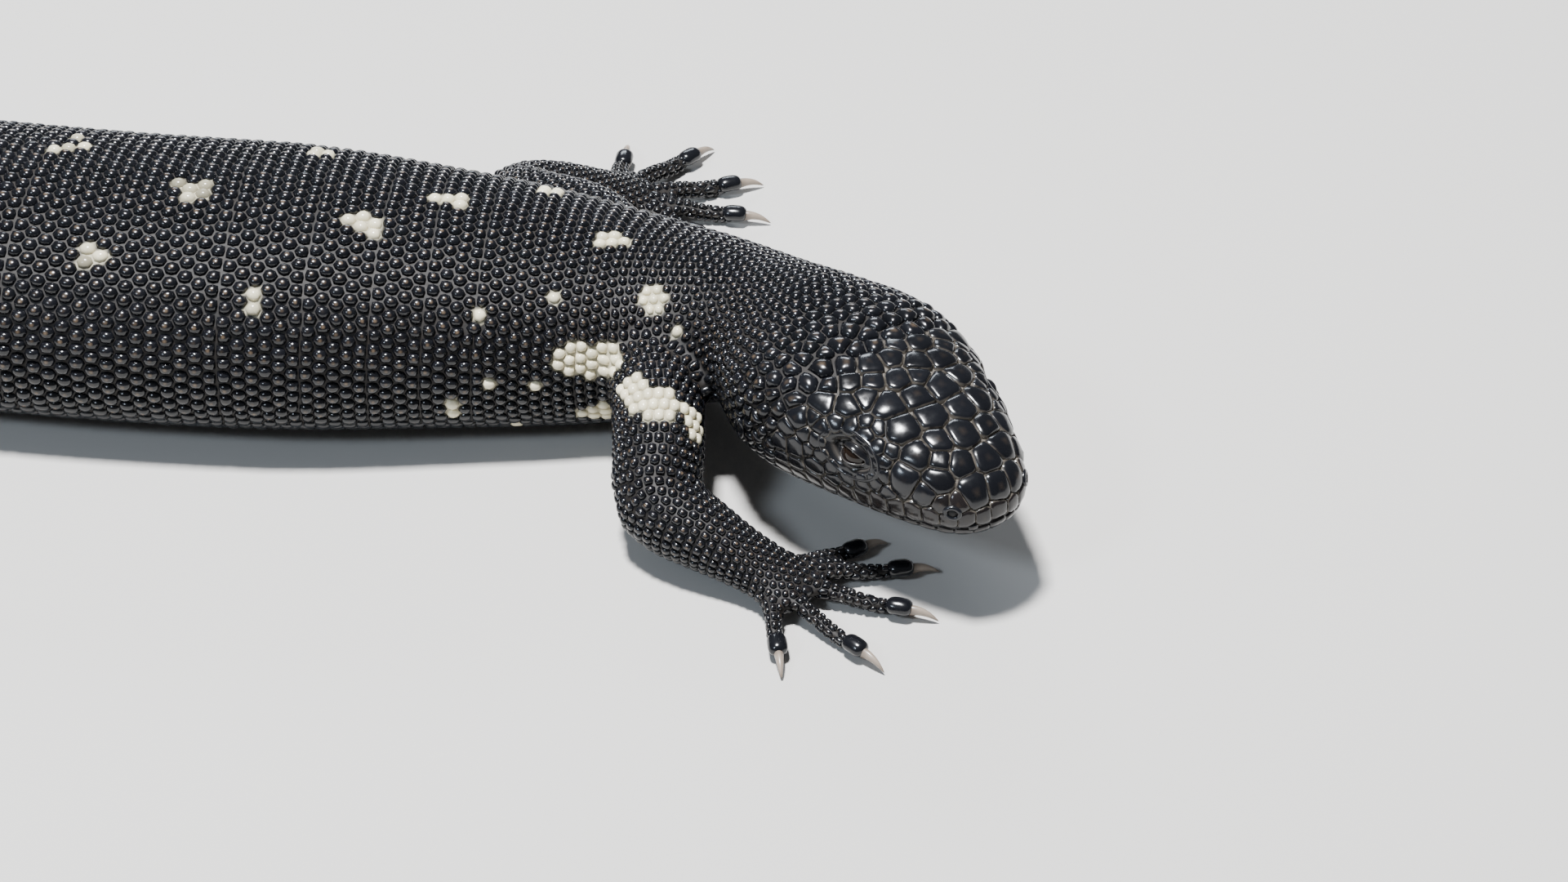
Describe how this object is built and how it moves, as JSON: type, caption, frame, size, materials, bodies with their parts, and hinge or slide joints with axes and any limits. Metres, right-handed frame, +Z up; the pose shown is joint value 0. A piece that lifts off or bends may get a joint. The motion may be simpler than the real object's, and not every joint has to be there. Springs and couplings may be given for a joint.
{
  "type": "beaded lizard",
  "caption": "Life-size beaded lizard lying on its belly, head lifted and turned to its right, limbs spread and thick tail curved; glossy black beaded skin with cream marks.",
  "frame": {"origin": "centre of the bounding box in plan, on the floor under the belly", "axes": "+X the way the trunk points, towards the head; +Y the lizard's left; +Z up from the floor"},
  "size_m": [0.5552, 0.2252, 0.0456],
  "materials": {
    "skin": "glossy black beaded skin with cream-yellow patches",
    "eye": "wet, very dark brown",
    "claw": "satin grey-tan horn"
  },
  "bodies": {
    "root": {"claw_fore_left_1": "claw", "claw_fore_left_2": "claw", "claw_fore_left_3": "claw", "claw_fore_left_4": "claw", "claw_fore_left_5": "claw", "claw_fore_right_1": "claw", "claw_fore_right_2": "claw", "claw_fore_right_3": "claw", "claw_fore_right_4": "claw", "claw_fore_right_5": "claw", "claw_hind_left_1": "claw", "claw_hind_left_2": "claw", "claw_hind_left_3": "claw", "claw_hind_left_4": "claw", "claw_hind_left_5": "claw", "claw_hind_right_1": "claw", "claw_hind_right_2": "claw", "claw_hind_right_3": "claw", "claw_hind_right_4": "claw", "claw_hind_right_5": "claw", "eye_left": "eye", "eye_right": "eye", "foot_hind_left": "skin", "foot_hind_right": "skin", "forearm_fore_left": "skin", "forearm_fore_right": "skin", "hand_fore_left": "skin", "hand_fore_right": "skin", "head": "skin", "lower_jaw": "skin", "neck": "skin", "shank_hind_left": "skin", "shank_hind_right": "skin", "tail_base": "skin", "tail_middle": "skin", "tail_tip": "skin", "thigh_hind_left": "skin", "thigh_hind_right": "skin", "torso_front": "skin", "torso_rear": "skin", "upper_arm_fore_left": "skin", "upper_arm_fore_right": "skin"}
  },
  "joints": []
}
